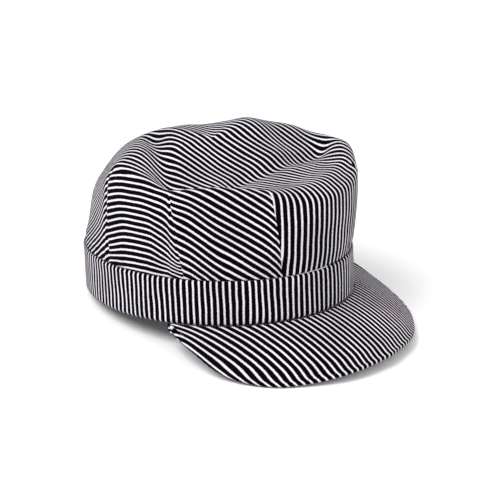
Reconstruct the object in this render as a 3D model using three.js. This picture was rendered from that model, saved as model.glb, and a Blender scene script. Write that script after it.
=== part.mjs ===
// Railroad engineer cap: a soft crown of striped cloth on an upright band, with a short stiff visor.
// Units are millimetres. While it is being made the cap stands on its band: the front faces -Y, the wearer's
// right is -X and +Z is up, with the middle of the band's lower edge at zero. The finished cap is then tipped
// back onto its hem and its visor, as it lies on a table.
import * as THREE from 'three';

// Driving dimensions
const BAND_LENGTH = 202; // outside of the band, front to back
const BAND_WIDTH = 169; // outside of the band, side to side
const BAND_HEIGHT = 32;
const BAND_WALL = 2; // cloth of the band, folded double
const CROWN_RISE = 60; // from the band up to the crown's shoulder
const CROWN_WALL = 2;
const HEM_RISE = 2; // how much higher than level the band's lower edge is at the front, and lower at the back
const VISOR_REACH = 46; // how far the visor's tip stands out before the band
const VISOR_SPREAD = 10; // how far the visor's sides stand out beyond the band's sides
const VISOR_DROP = 22; // how far the visor's rim hangs below the band
const VISOR_CAMBER = 3; // how far the visor arches up between its root and its rim
const VISOR_TWIST = 2; // how much lower the wearer's right side of the rim hangs than the middle
const VISOR_ROOT_TURN = 75; // degrees from the front to each end of the visor's root
const UPPER_COVER = 1.9; // cloth and board under the upper side of the visor
const UNDER_COVER = 1.8;
const SEAM_GAP = 0.3; // left between pieces that are sewn together

// Fineness of the faceted walls
const STEPS_AROUND = 96;
const STEPS_WALL = 9;
const STEPS_TOP = 9;
const STEPS_BAND = 2;
const STEPS_VISOR_ARC = 40;
const STEPS_VISOR_OUT = 6;

const CLOTH_COLOUR = 0x55505a;
const CLOTH_ROUGHNESS = 0.92;

// One row for each dart of the crown and for the middle of the cloth between two darts, round from the front
// over the wearer's right. band and shoulder are degrees round the head. low and high are how far the wall
// stands out of its plain slope, and rise, slope and crest are heights above the band at the shoulder and at
// two places further in; these five are shares of CROWN_RISE. reach is the shoulder's share of the band's plan.
const SECTION_COLUMNS = ['name', 'band', 'shoulder', 'low', 'high', 'reach', 'rise', 'slope', 'crest'];
const SECTIONS = [
  ['front', 0, 0, 0.05, 0.08, 1.01, 0.95, 0.92, 1.15],
  ['dart_front_right', 28, 31, 0.05, 0.05, 0.95, 1.01, 0.88, 1.13],
  ['front_right', 50, 53, 0.07, 0.08, 0.97, 1.04, 0.85, 1.14],
  ['dart_right_front', 69, 76, 0.05, 0.05, 0.97, 0.99, 0.93, 1.22],
  ['right', 89, 93, 0.05, 0.05, 0.93, 0.94, 1.15, 1.30],
  ['dart_right_rear', 107, 111, 0.02, 0.02, 0.87, 0.88, 1.20, 1.32],
  ['rear_right', 134, 134, -0.02, 0, 0.80, 0.78, 1.15, 1.28],
  ['dart_rear_right', 158, 158, 0, 0, 0.81, 0.76, 1.04, 1.21],
  ['rear', 180, 180, 0.03, 0.02, 0.85, 0.77, 0.97, 1.16],
  ['dart_rear_left', 202, 202, 0.02, 0.02, 0.87, 0.80, 0.97, 1.15],
  ['rear_left', 226, 226, 0.05, 0.05, 0.90, 0.87, 1.00, 1.17],
  ['dart_left_rear', 249, 249, 0.05, 0.05, 0.92, 0.93, 1.06, 1.21],
  ['left', 269, 267, 0.08, 0.08, 0.95, 0.96, 1.11, 1.26],
  ['dart_left_front', 289, 286, 0.05, 0.05, 0.95, 1.00, 1.11, 1.27],
  ['front_left', 310, 310, 0.07, 0.10, 1.01, 1.07, 1.10, 1.22],
  ['dart_front_left', 332, 332, 0.05, 0.07, 1.00, 1.02, 1.00, 1.18],
].map((row) => Object.fromEntries(SECTION_COLUMNS.map((column, place) => [column, row[place]])));
const CREST_CENTRE = 1.27; // height of the crown's middle, as a share of CROWN_RISE

// Where the rows' values lie along a section: from the band at 0 over the shoulder at 1 to the middle at 2
const KNOTS = { band: 0, low: 0.3, high: 0.72, shoulder: 1, slope: 1.3, crest: 1.65, middle: 2 };
const SEAM_INSET = 0.985; // the crown's lower edge, as a share of the band's plan
const SLOPE_INSET = 0.76; // shares of the shoulder's reach
const CREST_INSET = 0.4;

// Folds in the crown's top. Each runs from (x0, y0) to (x1, y1), shares of half the band's width and length,
// and width and height are shares of CROWN_RISE. A negative height is a valley.
const TOP_FOLDS = [
  { name: 'trough_left', x0: 0.59, y0: -0.22, x1: 0.47, y1: -0.59, width: 0.22, height: -0.15 },
  { name: 'ridge_left', x0: 0.36, y0: -0.14, x1: 0.31, y1: -0.48, width: 0.2, height: 0.05 },
  { name: 'crease_right', x0: -0.71, y0: 0.1, x1: -0.3, y1: 0.45, width: 0.15, height: -0.05 },
  { name: 'valley_front', x0: -0.57, y0: -0.4, x1: 0.4, y1: -0.65, width: 0.15, height: -0.05 },
];

// Creases in the crown's wall. at0 and at1 are places among the sections, counted in rows from the front, up0
// and up1 heights and width and height lengths, all shares of CROWN_RISE.
const WALL_FOLDS = [
  { name: 'crease_front_right', at0: 2.9, up0: 0.95, at1: 1.7, up1: 0.15, width: 0.1, height: -0.03 },
  { name: 'hook_right', at0: 3.3, up0: 0.85, at1: 3.15, up1: 0.15, width: 0.07, height: -0.03 },
];
const FOLD_END = 1.3; // how far a fold fades beyond its ends, in widths
const ROW_SPACING = 0.6; // distance between two sections along the band, as a share of CROWN_RISE

// The visor's rim from its tip to its end at the root. across is a share of the rim's half width, ahead of the
// way from the root's ends to the tip, and drop of VISOR_DROP.
const RIM = [
  { along: 0, across: 0, ahead: 1, drop: 0.96 },
  { along: 0.2, across: 0.35, ahead: 0.95, drop: 1 },
  { along: 0.4, across: 0.64, ahead: 0.82, drop: 1.08 },
  { along: 0.6, across: 0.87, ahead: 0.65, drop: 1.02 },
  { along: 0.78, across: 1, ahead: 0.42, drop: 0.7 },
  { along: 0.92, across: 0.99, ahead: 0.17, drop: 0.1 },
  { along: 1, across: 0.9, ahead: 0, drop: -0.1 },
];

const radians = THREE.MathUtils.degToRad;
const clamp = THREE.MathUtils.clamp;

// Smooth curve between two values, given the slopes at both ends.
function hermite(share, from, to, slopeFrom, slopeTo) {
  const square = share * share;
  const cube = square * share;
  return (2 * cube - 3 * square + 1) * from + (cube - 2 * square + share) * slopeFrom
    + (3 * square - 2 * cube) * to + (cube - square) * slopeTo;
}

// Value of a section column at any place round the crown. turn is what a full round adds.
function around(column, place, turn = 0) {
  const count = SECTIONS.length;
  const first = Math.floor(place);
  const value = (row) => SECTIONS[((row % count) + count) % count][column] + turn * Math.floor(row / count);
  const [before, from, to, after] = [-1, 0, 1, 2].map((step) => value(first + step));
  return hermite(place - first, from, to, (to - before) / 2, (after - from) / 2);
}

// Smooth curve through values at uneven knots.
function through(knots, values, at) {
  const last = knots.length - 1;
  let span = 0;
  while (span < last - 1 && at > knots[span + 1]) span += 1;
  const width = knots[span + 1] - knots[span];
  const slope = (left, right) => ((values[right] - values[left]) / (knots[right] - knots[left])) * width;
  const slopeFrom = slope(Math.max(span - 1, 0), span + 1);
  const slopeTo = span + 2 > last ? 0 : slope(span, span + 2);
  return hermite((at - knots[span]) / width, values[span], values[span + 1], slopeFrom, slopeTo);
}

// Height of a fold at a point: a rounded ridge along its line that fades out past the ends.
function foldHeight(x, y, x0, y0, x1, y1, width, height) {
  const along = new THREE.Vector2(x1 - x0, y1 - y0);
  const length = along.length();
  along.divideScalar(length);
  const place = (x - x0) * along.x + (y - y0) * along.y;
  const aside = (x - x0) * along.y - (y - y0) * along.x;
  const beyond = place - clamp(place, 0, length);
  return height * Math.exp(-((aside / width) ** 2) - (beyond / (FOLD_END * width)) ** 2);
}

// Point of an oval with the band's plan.
function oval(turn, share, height) {
  return new THREE.Vector3(
    -(BAND_WIDTH / 2) * share * Math.sin(turn),
    -(BAND_LENGTH / 2) * share * Math.cos(turn),
    height,
  );
}

// Height of the band's lower edge, which lies in one plane that rises a little towards the front.
function hemHeight(turn) {
  return HEM_RISE * Math.cos(turn);
}

// Outer surface of the crown. place counts sections round from the front, up runs from the band at 0 over the
// shoulder at 1 to the middle at 2.
function crownPoint(place, up) {
  const wallShare = clamp(up, 0, 1);
  const bandTurn = radians(around('band', place, 360));
  const shoulderTurn = radians(around('shoulder', place, 360));
  const turn = bandTurn + (shoulderTurn - bandTurn) * wallShare;
  const plan = oval(turn, 1, 0).length();
  const reach = around('reach', place);
  const knots = Object.values(KNOTS);
  const lean = (knot) => SEAM_INSET + (reach - SEAM_INSET) * knot;
  const shares = [
    SEAM_INSET,
    lean(KNOTS.low) + (around('low', place) * CROWN_RISE) / plan,
    lean(KNOTS.high) + (around('high', place) * CROWN_RISE) / plan,
    reach,
    reach * SLOPE_INSET,
    reach * CREST_INSET,
    0,
  ];
  const rise = around('rise', place);
  const heights = [
    0, rise * KNOTS.low, rise * KNOTS.high, rise,
    around('slope', place), around('crest', place), CREST_CENTRE,
  ].map((share) => share * CROWN_RISE);
  const point = oval(turn, through(knots, shares, up), BAND_HEIGHT + SEAM_GAP + through(knots, heights, up));
  const onTop = THREE.MathUtils.smoothstep(up, 1, KNOTS.slope);
  for (const fold of TOP_FOLDS) {
    point.z += onTop * foldHeight(
      point.x, point.y, (fold.x0 * BAND_WIDTH) / 2, (fold.y0 * BAND_LENGTH) / 2,
      (fold.x1 * BAND_WIDTH) / 2, (fold.y1 * BAND_LENGTH) / 2,
      fold.width * CROWN_RISE, fold.height * CROWN_RISE,
    );
  }
  const onWall = THREE.MathUtils.smoothstep(up, 0, KNOTS.low) * (1 - THREE.MathUtils.smoothstep(up, 1, KNOTS.slope));
  for (const fold of WALL_FOLDS) {
    const out = onWall * CROWN_RISE * foldHeight(
      place * ROW_SPACING, up, fold.at0 * ROW_SPACING, fold.up0, fold.at1 * ROW_SPACING, fold.up1,
      fold.width, fold.height,
    );
    point.x -= out * Math.sin(turn);
    point.y -= out * Math.cos(turn);
  }
  return point;
}

// Mesh of a closed wall from two grids of points that lie face to face. Each grid is a list of rows of equal
// length. A ring's rows close on themselves, and a pole is the single point that its last row closes on.
function wallGeometry(outer, inner, { ring = false, outerPole = null, innerPole = null } = {}) {
  const positions = [];
  const faces = [];
  const addPoint = (point) => positions.push(...point.toArray()) / 3 - 1;
  const addGrid = (grid) => grid.map((row) => row.map(addPoint));
  const outerIds = addGrid(outer);
  const innerIds = addGrid(inner);
  const rows = outer.length;
  const columns = outer[0].length;
  const spans = ring ? columns : columns - 1;
  const quad = (a, b, c, d) => faces.push(a, b, c, a, c, d);
  const next = (column) => (column + 1) % columns;
  for (let row = 0; row < rows - 1; row += 1) {
    for (let column = 0; column < spans; column += 1) {
      const [o0, o1] = [outerIds[row], outerIds[row + 1]];
      const [i0, i1] = [innerIds[row], innerIds[row + 1]];
      quad(o0[next(column)], o0[column], o1[column], o1[next(column)]);
      quad(i0[next(column)], i1[next(column)], i1[column], i0[column]);
    }
  }
  const rim = (row, last) => {
    const [o, i] = [outerIds[row], innerIds[row]];
    for (let column = 0; column < spans; column += 1) {
      if (last) quad(o[next(column)], o[column], i[column], i[next(column)]);
      else quad(o[column], o[next(column)], i[next(column)], i[column]);
    }
  };
  rim(0, false);
  if (outerPole) {
    const outerTop = addPoint(outerPole);
    const innerTop = addPoint(innerPole);
    for (let column = 0; column < spans; column += 1) {
      faces.push(outerIds[rows - 1][next(column)], outerIds[rows - 1][column], outerTop);
      faces.push(innerIds[rows - 1][column], innerIds[rows - 1][next(column)], innerTop);
    }
  } else {
    rim(rows - 1, true);
  }
  if (!ring) {
    const end = columns - 1;
    for (let row = 0; row < rows - 1; row += 1) {
      quad(outerIds[row + 1][0], outerIds[row][0], innerIds[row][0], innerIds[row + 1][0]);
      quad(outerIds[row][end], outerIds[row + 1][end], innerIds[row + 1][end], innerIds[row][end]);
    }
  }
  const geometry = new THREE.BufferGeometry();
  geometry.setAttribute('position', new THREE.Float32BufferAttribute(positions, 3));
  geometry.setIndex(faces);
  return geometry;
}

// Grid moved inwards by a thickness along the surface's own direction. flat rows move level only, so that they
// stay in the plane of the edge that they sit on.
function offsetGrid(grid, thickness, { ring = false, flat = () => false } = {}) {
  const columns = grid[0].length;
  const pick = (row, column) => {
    const wrapped = ring ? (column + columns) % columns : clamp(column, 0, columns - 1);
    return grid[clamp(row, 0, grid.length - 1)][wrapped];
  };
  return grid.map((line, row) => line.map((point, column) => {
    const across = pick(row, column + 1).clone().sub(pick(row, column - 1));
    const up = pick(row + 1, column).clone().sub(pick(row - 1, column));
    const normal = up.cross(across);
    if (flat(row)) normal.z = 0;
    return point.clone().addScaledVector(normal.normalize(), -thickness);
  }));
}

function makeCrown() {
  const columns = Array.from({ length: STEPS_AROUND }, (_, step) => (step / STEPS_AROUND) * SECTIONS.length);
  const wallRows = Array.from({ length: STEPS_WALL }, (_, step) => step / STEPS_WALL);
  const topRows = Array.from({ length: STEPS_TOP }, (_, step) => 1 + step / STEPS_TOP);
  const outer = [...wallRows, ...topRows].map((up) => columns.map((place) => crownPoint(place, up)));
  const inner = offsetGrid(outer, CROWN_WALL, { ring: true, flat: (row) => row === 0 });
  const outerPole = crownPoint(0, 2);
  const innerPole = outerPole.clone();
  innerPole.z -= CROWN_WALL;
  return wallGeometry(outer, inner, { ring: true, outerPole, innerPole });
}

function makeBand() {
  const shares = Array.from({ length: STEPS_BAND + 1 }, (_, step) => step / STEPS_BAND);
  const turns = Array.from({ length: STEPS_AROUND }, (_, step) => (step / STEPS_AROUND) * 2 * Math.PI);
  const height = (turn, share) => hemHeight(turn) * (1 - share) + BAND_HEIGHT * share;
  const outer = shares.map((share) => turns.map((turn) => oval(turn, 1, height(turn, share))));
  const inner = offsetGrid(outer, BAND_WALL, { ring: true, flat: () => true });
  return wallGeometry(outer, inner, { ring: true });
}

// Upper surface of the visor. side runs from -1 at the wearer's left to 1 at the right, and out from the band
// at 0 to the rim at 1. A negative out is the strip that is tucked in under the band.
function visorPoint(side, out) {
  const knots = RIM.map((row) => row.along);
  const rimValue = (column) => through(knots, RIM.map((row) => row[column]), Math.abs(side));
  const rootTurn = radians(VISOR_ROOT_TURN);
  const turn = rootTurn * side;
  const outward = new THREE.Vector3(-Math.sin(turn), -Math.cos(turn), 0);
  const root = oval(turn, 1, hemHeight(turn) - SEAM_GAP).addScaledVector(outward, SEAM_GAP);
  if (out < 0) return root.addScaledVector(outward, -BAND_WALL - SEAM_GAP);
  const rootEnd = oval(rootTurn, 1, 0);
  const tip = -BAND_LENGTH / 2 - VISOR_REACH;
  const drop = rimValue('drop');
  const rim = new THREE.Vector3(
    -Math.sign(side) * rimValue('across') * (BAND_WIDTH / 2 + VISOR_SPREAD),
    rootEnd.y + (tip - rootEnd.y) * rimValue('ahead'),
    -drop * VISOR_DROP - VISOR_TWIST * side,
  );
  const point = root.lerp(rim, out);
  point.z += 4 * out * (1 - out) * VISOR_CAMBER * drop;
  return point;
}

function visorGrid() {
  const sides = Array.from({ length: STEPS_VISOR_ARC + 1 }, (_, step) => 1 - (2 * step) / STEPS_VISOR_ARC);
  const outs = Array.from({ length: STEPS_VISOR_OUT + 1 }, (_, step) => step / STEPS_VISOR_OUT);
  return [-1, ...outs].map((out) => sides.map((side) => visorPoint(side, out)));
}

function sunken(grid, depth) {
  return grid.map((row) => row.map((point) => new THREE.Vector3(point.x, point.y, point.z - depth)));
}

function makeVisorUpperCover() {
  const top = visorGrid();
  return wallGeometry(sunken(top, 0), sunken(top, UPPER_COVER));
}

function makeVisorUnderCover() {
  const top = sunken(visorGrid(), UPPER_COVER + SEAM_GAP);
  return wallGeometry(top, sunken(top, UNDER_COVER));
}

function addPiece(cap, name, geometry) {
  const flat = geometry.toNonIndexed();
  flat.computeVertexNormals();
  const material = new THREE.MeshStandardMaterial({ color: CLOTH_COLOUR, roughness: CLOTH_ROUGHNESS, metalness: 0 });
  const mesh = new THREE.Mesh(flat, material);
  mesh.name = name;
  cap.add(mesh);
}

// Lowest point of a piece as it is turned, among those that a test lets through.
function lowestPoint(mesh, turned, test) {
  const position = mesh.geometry.getAttribute('position');
  let lowest = null;
  for (let index = 0; index < position.count; index += 1) {
    const start = new THREE.Vector3().fromBufferAttribute(position, index);
    const point = start.clone().applyQuaternion(turned);
    if (test(start) && (!lowest || point.z < lowest.z)) lowest = point;
  }
  return lowest;
}

// Tips the cap until the hem's back and both sides of the visor's rim touch one level surface.
function settle(cap) {
  const named = (name) => cap.children.find((mesh) => mesh.name === name);
  const levelling = 8;
  for (let round = 0; round < levelling; round += 1) {
    const back = lowestPoint(named('band'), cap.quaternion, (point) => point.y > 0);
    const right = lowestPoint(named('visor_under_cover'), cap.quaternion, (point) => point.x < 0);
    const left = lowestPoint(named('visor_under_cover'), cap.quaternion, (point) => point.x > 0);
    const normal = right.sub(back).cross(left.sub(back)).normalize();
    if (normal.z < 0) normal.negate();
    cap.quaternion.premultiply(new THREE.Quaternion().setFromUnitVectors(normal, new THREE.Vector3(0, 0, 1)));
  }
  cap.updateMatrixWorld(true);
  const box = new THREE.Box3().setFromObject(cap, true);
  const centre = box.getCenter(new THREE.Vector3());
  cap.position.set(-centre.x, -centre.y, -box.min.z);
}

const cap = new THREE.Group();
addPiece(cap, 'crown', makeCrown());
addPiece(cap, 'band', makeBand());
addPiece(cap, 'visor_upper_cover', makeVisorUpperCover());
addPiece(cap, 'visor_under_cover', makeVisorUnderCover());
settle(cap);
const part = new THREE.Group();
part.add(cap);

export default part;
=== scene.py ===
"""Railroad engineer cap: a darted crown of striped twill on an upright band, with a short curved visor.

Lengths are in metres. The shapes are worked out while the cap stands on its band, with the front towards -Y,
the wearer's right towards -X and the middle of the band's lower edge at the origin. They are then tipped onto
the hem and the visor as the finished cap lies.
"""

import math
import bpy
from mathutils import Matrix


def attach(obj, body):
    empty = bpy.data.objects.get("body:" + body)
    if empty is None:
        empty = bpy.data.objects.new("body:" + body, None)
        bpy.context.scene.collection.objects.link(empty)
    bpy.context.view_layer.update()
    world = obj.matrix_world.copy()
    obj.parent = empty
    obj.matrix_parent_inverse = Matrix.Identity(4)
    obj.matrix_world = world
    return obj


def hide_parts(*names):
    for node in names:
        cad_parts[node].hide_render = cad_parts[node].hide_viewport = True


bl_info = {
    "name": "Railroad engineer cap",
    "version": (1, 0, 0),
    "blender": (4, 5, 0),
    "location": "3D View > Sidebar > Cap",
    "description": "Builds a striped railroad engineer cap and the stage that it lies on",
    "category": "Add Mesh",
}

import bmesh
import bpy
from bpy.props import FloatProperty, FloatVectorProperty, PointerProperty
from mathutils import Matrix, Vector, noise

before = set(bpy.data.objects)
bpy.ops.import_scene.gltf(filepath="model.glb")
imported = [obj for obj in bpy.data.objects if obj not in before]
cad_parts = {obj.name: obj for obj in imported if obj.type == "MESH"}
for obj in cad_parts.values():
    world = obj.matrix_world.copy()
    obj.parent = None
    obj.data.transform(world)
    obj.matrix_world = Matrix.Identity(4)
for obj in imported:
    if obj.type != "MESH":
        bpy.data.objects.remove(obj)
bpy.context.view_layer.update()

MM = 0.001

# One row for each dart of the crown and for the middle of the cloth between two darts, round from the front
# over the wearer's right. band and shoulder are degrees round the head. low and high are how far the wall
# stands out of its plain slope, and rise, slope and crest are heights above the band at the shoulder and at
# two places further in; these five are shares of the crown's rise. reach is the shoulder's distance from the
# middle, as a share of the band's.
SECTION_COLUMNS = ("band", "shoulder", "low", "high", "reach", "rise", "slope", "crest")
SECTIONS = (
    ("front", 0, 0, 0.05, 0.07, 1.02, 0.94, 0.92, 0.97),
    ("dart_front_right", 28, 33, 0.06, 0.06, 1.00, 1.00, 0.90, 0.94),
    ("front_right", 50, 54, 0.07, 0.08, 0.98, 1.04, 0.89, 0.97),
    ("dart_right_front", 69, 74, 0.05, 0.05, 0.96, 0.99, 0.92, 1.04),
    ("right", 89, 92, 0.05, 0.05, 0.94, 1.04, 1.06, 1.12),
    ("dart_right_rear", 107, 111, 0.03, 0.04, 0.89, 1.04, 1.18, 1.22),
    ("rear_right", 134, 134, 0.01, 0.03, 0.82, 0.86, 1.18, 1.28),
    ("dart_rear_right", 158, 158, 0.06, 0.07, 0.85, 0.77, 1.11, 1.32),
    ("rear", 180, 180, 0.05, 0.05, 0.88, 0.77, 1.02, 1.28),
    ("dart_rear_left", 202, 202, 0.02, 0.02, 0.90, 0.80, 1.01, 1.26),
    ("rear_left", 226, 226, 0.05, 0.05, 0.92, 0.87, 1.04, 1.24),
    ("dart_left_rear", 249, 249, 0.05, 0.05, 0.94, 0.93, 1.13, 1.28),
    ("left", 269, 267, 0.08, 0.08, 0.96, 0.96, 1.20, 1.33),
    ("dart_left_front", 289, 286, 0.05, 0.05, 0.97, 1.02, 1.21, 1.31),
    ("front_left", 310, 310, 0.07, 0.10, 1.06, 1.15, 1.01, 1.16),
    ("dart_front_left", 332, 332, 0.05, 0.07, 1.01, 1.03, 0.96, 1.07),
)
CREST_CENTRE = 1.22  # height of the crown's middle, as a share of the crown's rise
CREST_TILT = Vector((0.27, 0.42, 0))  # how steeply the top climbs towards the wearer's left and the back
# Degrees from the front in which the cloth runs down between two darts, round from the front over the right
FALL = (0, 52, 92, 122, 180, 235, 268, 309)
# Where the rows' values lie along a section, from the band at 0 over the shoulder at 1 to the middle at 2
LOW, HIGH, SLOPE, CREST = 0.3, 0.72, 1.3, 1.65
KNOTS = (0, LOW, HIGH, 1, SLOPE, CREST, 2)
SEAM_INSET = 0.985  # the crown's lower edge, as a share of the band's plan
SLOPE_INSET = 0.76  # shares of the shoulder's reach
CREST_INSET = 0.4

# Folds in the crown's top: name, start and end as shares of half the band's width and length, then width and
# height as shares of the crown's rise. A negative height is a valley.
TOP_FOLDS = (
    ("valley_front", -0.34, -0.42, 0.86, -0.58, 0.12, -0.06),
    ("trough_left", 0.56, -0.14, 0.36, -0.48, 0.16, -0.04),
    ("crease_right", -0.82, -0.20, -0.28, 0.32, 0.14, -0.10),
)
# Creases in the crown's wall: name, start and end as a place among the rows above and a height, then width
# and height. All but the places are shares of the crown's rise.
WALL_FOLDS = (
    ("crease_front_right", 2.9, 0.95, 1.7, 0.15, 0.1, -0.03),
    ("hook_right", 3.35, 0.85, 3.2, 0.15, 0.12, -0.02),
)
FOLD_END = 1.3  # how far a fold fades beyond its ends, in widths
# How far the cloth is pulled straight between two darts, from 0 to 1, in the same order as FALL
PULL = (0.15, 0.9, 0.6, 0.5, 0.4, 0.5, 0.6, 0.5)
PULL_FULL = 0.4  # how far up the pull is whole
PULL_FADE = (1.1, 1.6)  # between where it fades on the top
# Where the cloth is drawn down into a dart: the dart's place among the rows, the side it is drawn on, how far
# it is drawn as a share of the crown's rise, from how many rows away, and how far up this starts and fades.
# A start below 0 means that it is whole at the band.
DRAWN_IN = (
    (3, 1, 0.13, 0.7, 0, 0.3),
    (3, -1, -0.10, 0.9, -0.25, 0.65),
    (5, -1, 0.04, 0.6, 0, 0.3),
)
DRAWN_RAMP = 0.25  # how far up from its start the cloth is drawn in whole
ROW_SPACING = 0.6  # distance between two sections along the band, as a share of the crown's rise

# The visor's rim from its tip to its end at the root: along, then across as a share of the rim's half width,
# ahead as a share of the way from the root's ends to the tip, and drop as a share of the visor's drop
RIM = (
    (0.0, 0.0, 1.0, 0.96),
    (0.2, 0.35, 0.95, 1.0),
    (0.4, 0.64, 0.82, 1.08),
    (0.6, 0.87, 0.65, 1.02),
    (0.78, 1.0, 0.42, 0.70),
    (0.92, 0.99, 0.17, 0.10),
    (1.0, 0.9, 0.0, -0.10),
)
VISOR_ROOT_TURN = math.radians(75)

# Grids of the cloth
COLUMNS_AROUND = 288
ROWS_UP = 120
COLUMNS_VISOR = 170
WELD = 0.02 * MM

REST_STEPS = 40  # places on half the rim and half the hem that may touch the floor
REST_ROUNDS = 8  # how often the cap is tipped before it lies still

# The twill. Its slow noise lies over the cap and its quick noise on the flat cloth.
SLOW_SCALE, QUICK_SCALE = 38.0, 900.0
WOBBLE = 0.3 * MM
STRAY = 4.0  # how far the stripes stray, in wobbles
FRAY = 0.10  # raggedness of a stripe's edges, as a share of the pitch
BLUR = 0.045  # softness of the same edges
# Each of these goes from two values of the noise to two shades of the white yarn, two shares of white in the
# dark yarn and two roughnesses.
SLOW_SHADE = (0.3, 0.7, 0.82, 1.0)
QUICK_SHADE = (0.2, 0.8, 0.8, 1.0)
LINT = (0.6, 0.85, 0.0, 0.012)
ROUGHNESS = (0.2, 0.8, 0.82, 0.95)
TWILL_BUMP, YARN_BUMP, STRIPE_BUMP = 0.6, 0.5, 0.25
BUMP_DEPTH, BUMP_STRENGTH = 0.2 * MM, 0.5
SPECULAR = 0.04


def metres(name, description, default):
    """A property that holds a length."""
    return FloatProperty(name=name, description=description, default=default, unit="LENGTH")


class CapSizes(bpy.types.PropertyGroup):
    """Sizes of the cap"""

    band_length: metres("Band length", "Outside, front to back", 0.202)
    band_width: metres("Band width", "Outside, side to side", 0.169)
    band_height: metres("Band height", "Height of the band", 0.032)
    crown_rise: metres("Crown rise", "Band to shoulder", 0.060)
    wall: metres("Cloth", "Thickness of the sewn cloth", 0.002)
    hem_rise: metres("Hem rise", "How much higher the hem is at the front", 0.002)
    visor_reach: metres("Visor reach", "How far the tip stands out before the band", 0.046)
    visor_spread: metres("Visor spread", "How far its sides stand out past the band's", 0.010)
    visor_drop: metres("Visor drop", "Fall of the rim", 0.022)
    visor_camber: metres("Visor camber", "Arch from root to rim", 0.003)
    visor_twist: metres("Visor twist", "How much lower the right side hangs", 0.002)
    visor_thickness: metres("Visor thickness", "Board with both covers", 0.004)
    seam_gap: metres("Seam gap", "Gap between sewn pieces", 0.0003)


class CapCloth(bpy.types.PropertyGroup):
    """Colours and weave of the striped twill"""

    pitch: metres("Stripe pitch", "One stripe to the next", 0.0042)
    white_share: FloatProperty(
        name="White share", description="Share of the pitch that is white", default=0.31, subtype="FACTOR"
    )
    dark: FloatVectorProperty(
        name="Dark yarn", description="Colour of the ground",
        default=(0.0008, 0.0003, 0.0012), size=3, subtype="COLOR",
    )
    white: FloatVectorProperty(
        name="White yarn", description="Colour of the stripes",
        default=(0.80, 0.76, 0.83), size=3, subtype="COLOR",
    )
    yarn: metres("Twill line", "One twill line to the next", 0.0008)


class CapStage(bpy.types.PropertyGroup):
    """Camera and light"""

    turn: FloatProperty(
        name="Camera turn", description="Angle to the wearer's right of the front",
        default=math.radians(50), subtype="ANGLE",
    )
    height: FloatProperty(
        name="Camera height", description="Angle above the band's plane",
        default=math.radians(19.4), subtype="ANGLE",
    )
    roll: FloatProperty(
        name="Camera roll", description="Roll against the band's plane",
        default=math.radians(-2.4), subtype="ANGLE",
    )
    distance: metres("Camera distance", "Camera to cap", 1.2)
    key: FloatProperty(name="Key light", description="Power of the large light", default=20.0, unit="POWER")
    fill: FloatProperty(name="Fill light", description="Power of the second light", default=6.0, unit="POWER")
    sky: FloatProperty(name="Sky", description="Strength of the white surroundings", default=0.8)


def hermite(share, start, end, slope_start, slope_end):
    """Smooth curve between two values, given the slopes at both ends."""
    square, cube = share * share, share * share * share
    return (
        (2 * cube - 3 * square + 1) * start
        + (cube - 2 * square + share) * slope_start
        + (3 * square - 2 * cube) * end
        + (cube - square) * slope_end
    )


def through(knots, values, at):
    """Smooth curve through values at uneven knots, level at its end."""
    last = len(knots) - 1
    span = 0
    while span < last - 1 and at > knots[span + 1]:
        span += 1
    width = knots[span + 1] - knots[span]

    def slope(left, right):
        return (values[right] - values[left]) / (knots[right] - knots[left]) * width

    start = slope(max(span - 1, 0), span + 1)
    end = 0 if span + 2 > last else slope(span, span + 2)
    return hermite((at - knots[span]) / width, values[span], values[span + 1], start, end)


def around(column, place, turn=0):
    """Value of a section column at any place round the crown. turn is what a full round adds."""
    index, count = SECTION_COLUMNS.index(column) + 1, len(SECTIONS)
    first = math.floor(place)
    before, start, end, after = (
        SECTIONS[row % count][index] + turn * (row // count) for row in range(first - 1, first + 3)
    )
    return hermite(place - first, start, end, (end - before) / 2, (after - start) / 2)


def smooth_step(value, low, high):
    """0 up to low, 1 from high on, and a smooth rise between them."""
    share = min(max((value - low) / (high - low), 0), 1)
    return share * share * (3 - 2 * share)


def fold_height(x, y, x0, y0, x1, y1, width, height):
    """Height of a fold at a point: a rounded ridge along its line that fades out past the ends."""
    dx, dy = x1 - x0, y1 - y0
    length = math.hypot(dx, dy)
    place = ((x - x0) * dx + (y - y0) * dy) / length
    aside = ((x - x0) * dy - (y - y0) * dx) / length
    beyond = place - min(max(place, 0), length)
    return height * math.exp(-((aside / width) ** 2) - (beyond / (FOLD_END * width)) ** 2)


def oval(sizes, turn, share, height):
    """Point of an oval with the band's plan."""
    return Vector((
        -sizes.band_width / 2 * share * math.sin(turn),
        -sizes.band_length / 2 * share * math.cos(turn),
        height,
    ))


def hem_height(sizes, turn):
    """Height of the band's lower edge, which lies in one plane that rises a little towards the front."""
    return sizes.hem_rise * math.cos(turn)


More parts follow.
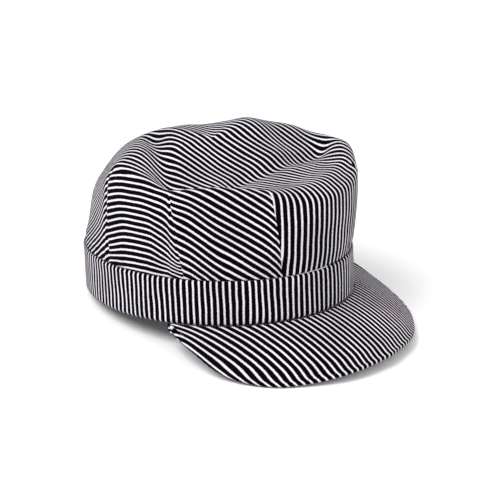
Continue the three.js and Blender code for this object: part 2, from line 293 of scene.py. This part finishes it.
class Section:
    """The crown's section at one place round it."""

    def __init__(self, sizes, place, darts=()):
        self.sizes = sizes
        self.place = place
        self.darts = darts
        self.pull = PULL[math.floor((place + 1) / 2) % len(PULL)]
        self.band_turn = math.radians(around("band", place, 360))
        self.shoulder_turn = math.radians(around("shoulder", place, 360))
        reach = around("reach", place)
        self.stand_out = around("low", place) * sizes.crown_rise, around("high", place) * sizes.crown_rise
        self.shares = [
            SEAM_INSET,
            SEAM_INSET + (reach - SEAM_INSET) * LOW,
            SEAM_INSET + (reach - SEAM_INSET) * HIGH,
            reach,
            reach * SLOPE_INSET,
            reach * CREST_INSET,
            0,
        ]
        rise = around("rise", place)
        heights = (
            0, rise * LOW, rise * HIGH, rise, around("slope", place), around("crest", place), CREST_CENTRE
        )
        tilts = [
            CREST_TILT.dot(oval(sizes, self.turn(knot), share, 0))
            for knot, share in zip(KNOTS, self.shares)
        ]
        self.heights = [share * sizes.crown_rise - tilt for share, tilt in zip(heights, tilts)]

    def turn(self, up):
        """Angle round the head from the front at a height."""
        return self.band_turn + (self.shoulder_turn - self.band_turn) * min(up, 1)

    def round_point(self, up):
        """Point of the crown before its cloth is pulled straight between the darts."""
        sizes = self.sizes
        turn = self.turn(up)
        plan = oval(sizes, turn, 1, 0).length
        shares = list(self.shares)
        shares[1] += self.stand_out[0] / plan
        shares[2] += self.stand_out[1] / plan
        point = oval(sizes, turn, through(KNOTS, shares, up), sizes.band_height + sizes.seam_gap)
        tilt = CREST_TILT.dot(oval(sizes, turn, through(KNOTS, self.shares, up), 0))
        point.z += through(KNOTS, self.heights, up) + tilt
        return point

    def point(self, up):
        """Outer surface of the crown, up from the band at 0 over the shoulder at 1 to the middle at 2."""
        sizes = self.sizes
        turn = self.turn(up)
        point = self.round_point(up)
        pull = self.pull * smooth_step(up, 0, PULL_FULL) * (1 - smooth_step(up, *PULL_FADE))
        if pull and self.darts:
            first, second = (dart.round_point(up) for dart in self.darts)
            share = (turn - self.darts[0].turn(up)) / (self.darts[1].turn(up) - self.darts[0].turn(up))
            point = point.lerp(first.lerp(second, share).xy.to_3d() + Vector((0, 0, point.z)), pull)
        half_width, half_length, rise = sizes.band_width / 2, sizes.band_length / 2, sizes.crown_rise
        on_top = smooth_step(up, 1, SLOPE)
        for _, x0, y0, x1, y1, width, fold in TOP_FOLDS if on_top else ():
            point.z += on_top * fold_height(
                point.x, point.y, x0 * half_width, y0 * half_length,
                x1 * half_width, y1 * half_length, width * rise, fold * rise,
            )
        on_wall = smooth_step(up, 0, LOW) * (1 - on_top)
        for _, at0, up0, at1, up1, width, fold in WALL_FOLDS if on_wall else ():
            out = on_wall * rise * fold_height(
                self.place * ROW_SPACING, up, at0 * ROW_SPACING, up0, at1 * ROW_SPACING, up1, width, fold
            )
            point.x -= out * math.sin(turn)
            point.y -= out * math.cos(turn)
        return point


def visor_point(sizes, side, out):
    """Upper surface of the visor.

    side runs from -1 at the wearer's left to 1 at the right, and out from 0 at the root to 1 at the rim.
    """
    knots = [row[0] for row in RIM]
    across, ahead, drop = (through(knots, [row[column] for row in RIM], abs(side)) for column in (1, 2, 3))
    turn = VISOR_ROOT_TURN * side
    outward = Vector((-math.sin(turn), -math.cos(turn), 0))
    root = oval(sizes, turn, 1, hem_height(sizes, turn) - sizes.seam_gap) + outward * sizes.seam_gap
    end_y = oval(sizes, VISOR_ROOT_TURN, 1, 0).y
    tip_y = -sizes.band_length / 2 - sizes.visor_reach
    rim = Vector((
        -math.copysign(across, side) * (sizes.band_width / 2 + sizes.visor_spread),
        end_y + (tip_y - end_y) * ahead,
        -drop * sizes.visor_drop - sizes.visor_twist * side,
    ))
    point = root.lerp(rim, out)
    point.z += 4 * out * (1 - out) * sizes.visor_camber * drop
    return point


def rest_matrix(sizes):
    """Tips the cap until the hem's back and both sides of the visor's rim touch one level surface."""
    below = Vector((0, 0, -sizes.visor_thickness))
    steps = [step / REST_STEPS for step in range(-REST_STEPS, REST_STEPS + 1)]
    rim = [visor_point(sizes, side, 1) + below for side in steps]
    hem = [oval(sizes, math.pi * side, 1, hem_height(sizes, math.pi * side)) for side in steps]
    turned = Matrix.Identity(3)
    for _ in range(REST_ROUNDS):
        back, right, left = (
            min((turned @ point for point in points), key=lambda point: point.z)
            for points in (
                [point for point in hem if point.y > 0],
                [point for point in rim if point.x < 0],
                [point for point in rim if point.x > 0],
            )
        )
        normal = (right - back).cross(left - back).normalized()
        if normal.z < 0:
            normal.negate()
        turned = normal.rotation_difference(Vector((0, 0, 1))).to_matrix() @ turned
    placed = [turned @ point for point in rim + hem]
    low = [min(point[axis] for point in placed) for axis in range(3)]
    high = [max(point[axis] for point in placed) for axis in range(3)]
    shift = Vector((-(low[0] + high[0]) / 2, -(low[1] + high[1]) / 2, -low[2]))
    return Matrix.Translation(shift) @ turned.to_4x4()


def grid(columns, rows):
    """A flat grid of faces, with each corner's shares along and up kept in two layers."""
    mesh = bmesh.new()
    mesh.verts.layers.float.new("along")
    mesh.verts.layers.float.new("up")
    bmesh.ops.create_grid(mesh, x_segments=columns, y_segments=rows, size=1)
    along, up = mesh.verts.layers.float["along"], mesh.verts.layers.float["up"]
    for vert in mesh.verts:
        vert[along] = (vert.co.x + 1) / 2
        vert[up] = (vert.co.y + 1) / 2
    return mesh, along, up


def by_column(mesh, along, count):
    """Lists the corners of a grid, column by column."""
    columns = [[] for _ in range(count + 1)]
    for vert in mesh.verts:
        columns[round(vert[along] * count)].append(vert)
    return columns


def map_cloth(mesh, spots):
    """Keeps each corner's place on the flat cloth in the map that the stripes follow."""
    cloth = mesh.loops.layers.uv.new("cloth")
    for face in mesh.faces:
        for loop in face.loops:
            loop[cloth].uv = spots[loop.vert]


def finish_mesh(mesh, name, sizes, outward, material, thickness=0):
    """Closes a bent grid, turns it the right way out, lays it down and gives it to a new object."""
    bmesh.ops.remove_doubles(mesh, verts=mesh.verts, dist=WELD)
    bmesh.ops.recalc_face_normals(mesh, faces=mesh.faces)
    if not outward(mesh):
        bmesh.ops.reverse_faces(mesh, faces=mesh.faces)
    mesh.transform(rest_matrix(sizes))
    for face in mesh.faces:
        face.smooth = True
    data = bpy.data.meshes.new(name)
    mesh.to_mesh(data)
    mesh.free()
    data.materials.append(material)
    piece = bpy.data.objects.new(name, data)
    bpy.context.collection.objects.link(piece)
    if thickness:
        wall = piece.modifiers.new("Cloth", "SOLIDIFY")
        wall.thickness = thickness
        wall.offset = -1
        wall.use_quality_normals = True
    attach(piece, "root")
    return piece


def points_up(mesh):
    """True where most of the faces look up."""
    return sum(face.normal.z * face.calc_area() for face in mesh.faces) > 0


def points_down(mesh):
    """True where most of the faces look down."""
    return not points_up(mesh)


def points_out(mesh):
    """True where the outermost face looks away from the middle."""
    best = max(mesh.faces, key=lambda face: face.calc_center_median().xy.length)
    return best.normal.xy.dot(best.calc_center_median().xy) > 0


class Wiring:
    """Short ways to add and join shader nodes in one tree."""

    def __init__(self, tree):
        self.tree = tree

    def add(self, kind, **settings):
        """Adds a node and sets its properties."""
        node = self.tree.nodes.new(kind)
        for name, value in settings.items():
            setattr(node, name, value)
        return node

    def feed(self, target, value):
        """Joins a socket to an input, or sets the input to a value."""
        if isinstance(value, bpy.types.NodeSocket):
            self.tree.links.new(value, target)
        else:
            target.default_value = value

    def math(self, operation, first, second=0.0):
        node = self.add("ShaderNodeMath", operation=operation)
        self.feed(node.inputs[0], first)
        self.feed(node.inputs[1], second)
        return node.outputs[0]

    def between(self, value, low, high, start=0.0, end=1.0):
        """Goes smoothly from start to end while the value goes from low to high."""
        node = self.add("ShaderNodeMapRange", interpolation_type="SMOOTHSTEP")
        names = "Value", "From Min", "From Max", "To Min", "To Max"
        for name, part in zip(names, (value, low, high, start, end)):
            self.feed(node.inputs[name], part)
        return node.outputs["Result"]

    def mix(self, share, first, second):
        node = self.add("ShaderNodeMix", data_type="RGBA")
        self.feed(node.inputs[0], share)
        self.feed(node.inputs[6], first)
        self.feed(node.inputs[7], second)
        return node.outputs[2]

    def noise(self, vector, scale):
        node = self.add("ShaderNodeTexNoise")
        self.feed(node.inputs["Vector"], vector)
        self.feed(node.inputs["Scale"], scale)
        return node.outputs["Fac"]


def striped_twill():
    """Node group: yarn-dyed stripes in a diagonal weave. Across and Along are places on the flat cloth."""
    name = "Striped twill"
    if name in bpy.data.node_groups:
        return bpy.data.node_groups[name]
    tree = bpy.data.node_groups.new(name, "ShaderNodeTree")
    kinds = {
        "Across": "Float", "Along": "Float", "Place": "Vector", "Pitch": "Float", "White share": "Float",
        "Dark": "Color", "White": "Color", "Twill": "Float", "Wobble": "Float",
    }
    for name, kind in kinds.items():
        tree.interface.new_socket(name, in_out="INPUT", socket_type="NodeSocket" + kind)
    for name, kind in (("Color", "Color"), ("Roughness", "Float"), ("Normal", "Vector")):
        tree.interface.new_socket(name, in_out="OUTPUT", socket_type="NodeSocket" + kind)
    wires = Wiring(tree)
    given = wires.add("NodeGroupInput").outputs
    flat = wires.add("ShaderNodeCombineXYZ")
    wires.feed(flat.inputs["X"], given["Across"])
    wires.feed(flat.inputs["Y"], given["Along"])
    slow = wires.noise(given["Place"], SLOW_SCALE)
    quick = wires.noise(flat.outputs[0], QUICK_SCALE)
    drift = wires.math("MULTIPLY", wires.math("SUBTRACT", slow, 0.5), given["Wobble"])
    across = wires.math("ADD", given["Across"], wires.math("MULTIPLY", drift, STRAY))
    pitches = wires.math("FRACT", wires.math("DIVIDE", across, given["Pitch"]))
    stripe = wires.math("ABSOLUTE", wires.math("SUBTRACT", pitches, 0.5))
    fray = wires.math("MULTIPLY", wires.math("SUBTRACT", quick, 0.5), FRAY)
    half = wires.math("ADD", wires.math("MULTIPLY", given["White share"], 0.5), fray)
    edges = (wires.math(operation, half, BLUR) for operation in ("SUBTRACT", "ADD"))
    is_white = wires.math("SUBTRACT", 1.0, wires.between(stripe, *edges))
    line = wires.math("DIVIDE", wires.math("ADD", given["Across"], given["Along"]), given["Twill"])
    twill = wires.math("ABSOLUTE", wires.math("SUBTRACT", wires.math("FRACT", line), 0.5))
    shade = wires.between(slow, *SLOW_SHADE)
    flecks = wires.between(quick, *QUICK_SHADE)
    light = wires.math("MULTIPLY", shade, flecks)
    pale = wires.add("ShaderNodeMix", data_type="RGBA", blend_type="MULTIPLY")
    wires.feed(pale.inputs["Factor"], 1.0)
    wires.feed(pale.inputs[6], given["White"])
    grey = wires.add("ShaderNodeCombineColor")
    for channel in grey.inputs:
        wires.feed(channel, light)
    wires.feed(pale.inputs[7], grey.outputs[0])
    dark = wires.mix(wires.between(quick, *LINT), given["Dark"], given["White"])
    colour = wires.mix(is_white, dark, pale.outputs[2])
    yarns = wires.math("MULTIPLY", quick, YARN_BUMP)
    height = wires.math("ADD", wires.math("MULTIPLY", twill, TWILL_BUMP), yarns)
    height = wires.math("ADD", height, wires.math("MULTIPLY", is_white, STRIPE_BUMP))
    bump = wires.add("ShaderNodeBump")
    wires.feed(bump.inputs["Distance"], BUMP_DEPTH)
    wires.feed(bump.inputs["Strength"], BUMP_STRENGTH)
    wires.feed(bump.inputs["Height"], height)
    result = wires.add("NodeGroupOutput").inputs
    wires.feed(result["Color"], colour)
    wires.feed(result["Roughness"], wires.between(quick, *ROUGHNESS))
    wires.feed(result["Normal"], bump.outputs[0])
    return tree


def cloth_material(name, wobble=WOBBLE):
    """Striped twill that follows the piece's own cloth map."""
    cloth = bpy.context.scene.cap_cloth
    material = bpy.data.materials.new(name)
    material.use_nodes = True
    wires = Wiring(material.node_tree)
    shader = material.node_tree.nodes["Principled BSDF"]
    spot = wires.add("ShaderNodeSeparateXYZ")
    wires.feed(spot.inputs[0], wires.add("ShaderNodeUVMap", uv_map="cloth").outputs[0])
    twill = wires.add("ShaderNodeGroup", node_tree=striped_twill())
    given = {
        "Across": spot.outputs["X"],
        "Along": spot.outputs["Y"],
        "Place": wires.add("ShaderNodeTexCoord").outputs["Object"],
        "Pitch": cloth.pitch,
        "White share": cloth.white_share,
        "Dark": (*cloth.dark, 1),
        "White": (*cloth.white, 1),
        "Twill": cloth.yarn,
        "Wobble": wobble,
    }
    for socket, value in given.items():
        wires.feed(twill.inputs[socket], value)
    for target, source in (("Base Color", "Color"), ("Roughness", "Roughness"), ("Normal", "Normal")):
        wires.feed(shader.inputs[target], twill.outputs[source])
    wires.feed(shader.inputs["Specular IOR Level"], SPECULAR)
    return material


def ripple(point, size, height):
    """Small soft unevenness of worn cloth."""
    return height * noise.noise(point / size)


def even_out(values, reach):
    """Smooths values that run round in a ring, over so many neighbours to each side."""
    count = len(values)
    steps = range(-reach, reach + 1)
    weights = [math.exp(-2 * (step / reach) ** 2) for step in steps]
    total = sum(weights)
    return [
        sum(weight * values[(place + step) % count] for step, weight in zip(steps, weights)) / total
        for place in range(count)
    ]


def above(edge, turn):
    """Flat place of the shoulder point that lies at a turn, between the listed ones."""
    turn = turn % (2 * math.pi)
    for (turn0, across0, ahead0), (turn1, across1, ahead1) in zip(edge, edge[1:]):
        if turn0 <= turn <= turn1:
            share = (turn - turn0) / (turn1 - turn0)
            return across0 + (across1 - across0) * share, ahead0 + (ahead1 - ahead0) * share
    return edge[0][1:]


def drawn_in(sizes, place, middle, up):
    """How far the cloth is drawn down at a place, on the panel that has the place middle inside it."""
    down = 0
    for dart, side, depth, reach, start, fading in DRAWN_IN:
        if (middle - dart) * side > 0 and abs(middle - dart) < 2:
            near = 1 - smooth_step(abs(place - dart), 0, reach)
            height = smooth_step(up, start, start + DRAWN_RAMP) * (1 - smooth_step(up, fading, 1))
            down += depth * sizes.crown_rise * near * height
    return down


class CAP_OT_add_crown(bpy.types.Operator):
    """Sews the crown: one piece of cloth with eight darts, stripes running front to back over its top"""

    bl_idname = "cap.add_crown"
    bl_label = "Add crown"

    dense_at_darts = 0.7  # how much closer together the columns lie there
    dart_depth = 0.9 * MM
    dart_width = 1.3 * MM
    gather_height = 0.35 * MM
    gathers = 70  # folds round the band
    ripple_size = 30 * MM
    ripple_height = 0.9 * MM
    even_columns = 14  # neighbours over which the hanging lengths are evened out
    # The rest is measured up a section: the shoulder's rounding with its width, both larger at the front,
    # where the cosine of the turn passes two values, and where the gathers, the wall and the seam at the band
    # end.
    shoulder_round = 0.1
    shoulder_width = 0.16
    front_softer = 0.8
    front_cosines = (0.82, 0.95)
    gather_fade = (0.02, 0.22)
    wall_fade = (0.98, 1.08)
    seam_fade = (0, 0.1)

    def bent(self, sizes, section, up, dart_distance):
        """A section's point with a rounder shoulder, the dart's groove, the gathers and ripples."""
        turn = section.turn(up)
        softer = 1 + self.front_softer * smooth_step(math.cos(turn), *self.front_cosines)
        width = self.shoulder_width * softer
        spread = self.shoulder_round * softer * math.exp(-(((up - 1) / width) ** 2))
        point = (section.point(up - spread) + section.point(up) + section.point(up + spread)) / 3
        outward = Vector((-math.sin(turn), -math.cos(turn), 0))
        on_wall = 1 - smooth_step(up, *self.wall_fade)
        away = smooth_step(up, *self.seam_fade)
        groove = -self.dart_depth * math.exp(-((dart_distance / self.dart_width) ** 2)) * on_wall * away
        gathered = 1 - smooth_step(up, *self.gather_fade)
        gather = self.gather_height * math.sin(self.gathers * turn) * gathered * away
        soft = ripple(point, self.ripple_size, self.ripple_height) * away
        point += outward * (groove + gather)
        point.z += soft * smooth_step(up, 1, SLOPE)
        point += outward * soft * on_wall
        return point

    def place(self, share):
        """Place round the crown for a share of its columns, which lie closer together at the darts."""
        even = share * len(SECTIONS)
        return even + self.dense_at_darts / math.pi * math.sin(math.pi * even)

    def lay_flat(self, sections, levels, columns):
        """Where each corner lies on the flat cloth, across and ahead, and the length that hangs down to it.

        The top lies as it is seen from above. A corner on the wall takes its place from the shoulder point
        above it.
        """
        shoulder = levels.index(1)
        falls = []
        for verts in columns:
            fall = [0.0]
            for lower, upper in zip(verts, verts[1:]):
                fall.append(fall[-1] + (upper.co - lower.co).length)
            falls.append(fall)
        hang = [
            even_out([fall[shoulder] - fall[row] for fall in falls[:-1]], self.even_columns)
            for row in range(shoulder)
        ]
        edge = [
            (section.shoulder_turn, -verts[shoulder].co.x, -verts[shoulder].co.y)
            for section, verts in zip(sections, columns)
        ]
        flat = {}
        for column, (section, verts) in enumerate(zip(sections, columns)):
            for row, vert in enumerate(verts):
                if row >= shoulder:
                    flat[vert] = (-vert.co.x, -vert.co.y, 0)
                else:
                    down = hang[row][column % COLUMNS_AROUND]
                    flat[vert] = (*above(edge, section.turn(levels[row])), down)
        return flat

    def execute(self, context):
        sizes = context.scene.cap_sizes
        mesh, along, up = grid(COLUMNS_AROUND, ROWS_UP)
        columns = by_column(mesh, along, COLUMNS_AROUND)
        levels = [2 * row / ROWS_UP for row in range(ROWS_UP + 1)]
        sections = []
        for column, verts in enumerate(columns):
            verts.sort(key=lambda vert: vert[up])
            place = self.place(column / COLUMNS_AROUND)
            # The darts have the odd places.
            before = 2 * math.floor((place - 1) / 2) + 1
            darts = [Section(sizes, dart) for dart in (before, before + 2)]
            section = Section(sizes, place, darts)
            sections.append(section)
            distance = abs(place - 2 * math.floor(place / 2) - 1) * ROW_SPACING * sizes.crown_rise
            for vert, level in zip(verts, levels):
                vert.co = self.bent(sizes, section, level, distance)
        flat = self.lay_flat(sections, levels, columns)
        cloth = mesh.loops.layers.uv.new("cloth")
        for face in mesh.faces:
            middle = self.place(sum(vert[along] for vert in face.verts) / len(face.verts))
            fall_turn = math.radians(FALL[int((middle + 1) // 2) % len(FALL)])
            for loop in face.loops:
                across, ahead, down = flat[loop.vert]
                down -= drawn_in(sizes, self.place(loop.vert[along]), middle, 2 * loop.vert[up])
                loop[cloth].uv = across + down * math.sin(fall_turn), ahead + down * math.cos(fall_turn)
        area = sum(face.calc_area() for face in mesh.faces)
        piece = finish_mesh(mesh, "crown_cloth", sizes, points_up, cloth_material("Crown twill"), sizes.wall)
        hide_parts("crown")
        across, ahead = sizes.band_width + 2 * sizes.crown_rise, sizes.band_length + 2 * sizes.crown_rise
        return {"FINISHED"}


class CAP_OT_add_band(bpy.types.Operator):
    """Sews the band: an upright folded strip with its stripes standing upright"""

    bl_idname = "cap.add_band"
    bl_label = "Add band"

    rows = 40
    ripple_size = 22 * MM
    ripple_height = 0.8 * MM
    wobble = 0.6 * MM

    def execute(self, context):
        sizes = context.scene.cap_sizes
        mesh, along, up = grid(COLUMNS_AROUND, self.rows)
        length = 0.0
        lengths = [0.0]
        for step in range(COLUMNS_AROUND):
            here, there = (oval(sizes, 2 * math.pi * s / COLUMNS_AROUND, 1, 0) for s in (step, step + 1))
            length += (there - here).length
            lengths.append(length)
        spots = {}
        half_wall = sizes.wall / 2
        for vert in mesh.verts:
            turn = 2 * math.pi * vert[along]
            share = vert[up]
            # The profile goes up the outside, over the fold at the top and down the inside to the hem.
            if share < 0.5:
                rise, out = 2 * share, half_wall
            else:
                rise, out = 2 * (1 - share), -half_wall
            height = hem_height(sizes, turn) * (1 - rise) + rise * sizes.band_height
            edge = min(rise, 1 - rise) * sizes.band_height
            if edge < half_wall:
                out *= math.sqrt(max(1 - (1 - edge / half_wall) ** 2, 0))
            point = oval(sizes, turn, 1, height)
            outward = Vector((-math.sin(turn), -math.cos(turn), 0))
            wave = ripple(point, self.ripple_size, self.ripple_height) * math.sin(math.pi * rise)
            vert.co = point + outward * (out - half_wall + wave)
            spots[vert] = (lengths[round(vert[along] * COLUMNS_AROUND)], height)
        map_cloth(mesh, spots)
        piece = finish_mesh(mesh, "band_cloth", sizes, points_out, cloth_material("Band twill", self.wobble))
        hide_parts("band")
        return {"FINISHED"}


class CAP_OT_add_visor(bpy.types.Operator):
    """Sews the visor: a cover that rolls over the board's rim, and a cover below"""

    bl_idname = "cap.add_visor"
    bl_label = "Add visor"

    rows = 60
    roll_share = 0.14  # share of the upper cover's rows that lie on the roll over the rim
    roll_turn = 0.94 * math.pi
    roll_radius = 0.4  # as a share of the visor's thickness
    roll_inset = (0.8, 1)  # between where the upper cover draws in for the roll
    tuck_out = (0.93, 1)  # between where the under cover tucks in
    tuck = 1.2 * MM
    under_gap = 0.2 * MM  # how much higher the under cover lies than the visor's full thickness
    upper_wall, under_wall = 1.2 * MM, 1.4 * MM
    near_rim = 0.9
    rim_step = 0.004  # how far apart along the rim its direction is taken
    allowance = 10 * MM  # for the seam along each edge of the covers

    def rim_outward(self, sizes, side):
        """Level direction straight out from the rim."""
        first, second = (min(max(side + step, -1), 1) for step in (-self.rim_step, self.rim_step))
        edge = visor_point(sizes, second, 1) - visor_point(sizes, first, 1)
        outward = edge.cross(Vector((0, 0, 1))).normalized()
        ahead = visor_point(sizes, side, 1) - visor_point(sizes, side, self.near_rim)
        return -outward if outward.xy.dot(ahead.xy) < 0 else outward

    def upper_point(self, sizes, side, share, outward):
        """Point of the upper cover, which rolls down over the rim, and where it lies on the flat cloth."""
        radius = sizes.visor_thickness * self.roll_radius
        out = share / (1 - self.roll_share)
        if out <= 1:
            point = visor_point(sizes, side, out) - outward * radius * smooth_step(out, *self.roll_inset)
            return point, point
        angle = (share - 1 + self.roll_share) / self.roll_share * self.roll_turn
        rim = visor_point(sizes, side, 1) - outward * radius
        drop = Vector((0, 0, radius * (1 - math.cos(angle))))
        return rim + outward * radius * math.sin(angle) - drop, rim + outward * radius * angle

    def under_point(self, sizes, side, share, outward):
        """Point of the under cover, which tucks in below the roll, and where it lies on the flat cloth."""
        tuck = self.tuck * smooth_step(share, *self.tuck_out)
        point = visor_point(sizes, side, share) - outward * tuck
        point.z -= sizes.visor_thickness - self.under_gap - tuck
        return point, point

    def make(self, sizes, name, node, bend, facing, title, wall):
        """One cover of the visor."""
        mesh, along, up = grid(COLUMNS_VISOR, self.rows)
        spots = {}
        for column, verts in enumerate(by_column(mesh, along, COLUMNS_VISOR)):
            side = 1 - 2 * column / COLUMNS_VISOR
            outward = self.rim_outward(sizes, side)
            for vert in verts:
                vert.co, spot = bend(sizes, side, vert[up], outward)
                spots[vert] = -spot.x, -spot.y
        map_cloth(mesh, spots)
        area = sum(face.calc_area() for face in mesh.faces)
        piece = finish_mesh(mesh, name, sizes, facing, cloth_material(title), wall)
        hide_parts(node)

    def execute(self, context):
        sizes = context.scene.cap_sizes
        self.make(
            sizes, "visor_top_cloth", "visor_upper_cover",
            self.upper_point, points_up, "Visor twill", self.upper_wall,
        )
        self.make(
            sizes, "visor_bottom_cloth", "visor_under_cover",
            self.under_point, points_down, "Under cover twill", self.under_wall,
        )
        return {"FINISHED"}


class CAP_OT_set_stage(bpy.types.Operator):
    """Sets the pale floor, the soft light and the camera"""

    bl_idname = "cap.set_stage"
    bl_label = "Set stage"

    frame_width, frame_height = 483, 500
    cap_pixel = (218.4, 282.3)  # where the middle of the hem lies in the frame
    pixels_per_metre = 1410.0
    sensor = 36.0  # in millimetres
    clip = (0.01, 50)
    floor_size = 6
    floor_grey = (0.95, 0.95, 0.95, 1)
    # For each light: turn to the wearer's left of the front and height in degrees, then distance and size
    key_place = (-105, 52, 1.6, 0.9)
    fill_place = (5, 35, 1.8, 1.2)

    def aim_camera(self, context):
        """Sets the camera so that the cap lies in the frame as it does in the photograph."""
        stage = context.scene.cap_stage
        turn, height, roll = stage.turn, stage.height, stage.roll
        back = Vector((
            -math.sin(turn) * math.cos(height),
            -math.cos(turn) * math.cos(height),
            math.sin(height),
        ))
        level = Vector((math.cos(turn), -math.sin(turn), 0))
        above_view = back.cross(level)
        right = level * math.cos(roll) + above_view * math.sin(roll)
        upward = above_view * math.cos(roll) - level * math.sin(roll)
        rest = rest_matrix(context.scene.cap_sizes)
        from_left, from_top = self.cap_pixel
        offset = right * (self.frame_width / 2 - from_left) + upward * (from_top - self.frame_height / 2)
        eye = rest @ (back * stage.distance)
        target = rest @ (offset / self.pixels_per_metre)
        towards = (eye - target).normalized()
        side = (rest.to_3x3() @ upward).cross(towards).normalized()
        camera = bpy.data.objects.new("Camera", bpy.data.cameras.new("Camera"))
        context.collection.objects.link(camera)
        turned = Matrix((side, towards.cross(side), towards)).transposed()
        camera.matrix_world = Matrix.Translation(eye) @ turned.to_4x4()
        camera.data.sensor_width = self.sensor
        long_side = max(self.frame_width, self.frame_height)
        camera.data.lens = self.pixels_per_metre * stage.distance / long_side * self.sensor
        camera.data.clip_start, camera.data.clip_end = self.clip
        context.scene.camera = camera

    def add_light(self, context, name, place, power):
        """A square light that faces the cap."""
        azimuth, elevation, distance, size = place
        turn, height = math.radians(azimuth), math.radians(elevation)
        back = Vector((
            math.sin(turn) * math.cos(height),
            -math.cos(turn) * math.cos(height),
            math.sin(height),
        ))
        light = bpy.data.objects.new(name, bpy.data.lights.new(name, "AREA"))
        light.data.size = size
        light.data.energy = power
        light.location = back * distance
        light.rotation_mode = "QUATERNION"
        light.rotation_quaternion = back.to_track_quat("Z", "Y")
        context.collection.objects.link(light)

    def add_floor(self, context):
        """The pale paper that the cap lies on."""
        floor = bmesh.new()
        bmesh.ops.create_grid(floor, x_segments=1, y_segments=1, size=self.floor_size)
        data = bpy.data.meshes.new("Floor")
        floor.to_mesh(data)
        floor.free()
        surface = bpy.data.objects.new("Floor", data)
        context.collection.objects.link(surface)
        paper = bpy.data.materials.new("Paper")
        paper.use_nodes = True
        shader = paper.node_tree.nodes["Principled BSDF"]
        shader.inputs["Base Color"].default_value = self.floor_grey
        shader.inputs["Roughness"].default_value = 1.0
        shader.inputs["Specular IOR Level"].default_value = 0.0
        data.materials.append(paper)

    def execute(self, context):
        stage = context.scene.cap_stage
        self.add_floor(context)
        world = bpy.data.worlds.new("Studio")
        world.use_nodes = True
        background = world.node_tree.nodes["Background"]
        background.inputs["Color"].default_value = (1, 1, 1, 1)
        background.inputs["Strength"].default_value = stage.sky
        context.scene.world = world
        self.add_light(context, "Key", self.key_place, stage.key)
        self.add_light(context, "Fill", self.fill_place, stage.fill)
        context.scene.view_settings.view_transform = "Standard"
        self.aim_camera(context)
        return {"FINISHED"}


class CAP_PT_panel(bpy.types.Panel):
    """Lists the cap's pieces and sizes"""

    bl_idname = "CAP_PT_panel"
    bl_label = "Railroad engineer cap"
    bl_space_type = "VIEW_3D"
    bl_region_type = "UI"
    bl_category = "Cap"

    def draw(self, context):
        layout = self.layout
        for group in (context.scene.cap_sizes, context.scene.cap_cloth, context.scene.cap_stage):
            box = layout.box()
            for name in group.__annotations__:
                box.prop(group, name)
        for operator in OPERATORS:
            layout.operator(operator.bl_idname)


OPERATORS = (CAP_OT_add_crown, CAP_OT_add_band, CAP_OT_add_visor, CAP_OT_set_stage)
CLASSES = (CapSizes, CapCloth, CapStage, *OPERATORS, CAP_PT_panel)


def register():
    for made in CLASSES:
        bpy.utils.register_class(made)
    bpy.types.Scene.cap_sizes = PointerProperty(type=CapSizes)
    bpy.types.Scene.cap_cloth = PointerProperty(type=CapCloth)
    bpy.types.Scene.cap_stage = PointerProperty(type=CapStage)


def unregister():
    del bpy.types.Scene.cap_stage
    del bpy.types.Scene.cap_cloth
    del bpy.types.Scene.cap_sizes
    for made in reversed(CLASSES):
        bpy.utils.unregister_class(made)


def main():
    register()
    bpy.ops.cap.add_crown()
    bpy.ops.cap.add_band()
    bpy.ops.cap.add_visor()
    bpy.ops.cap.set_stage()


if __name__ == "__main__":
    main()
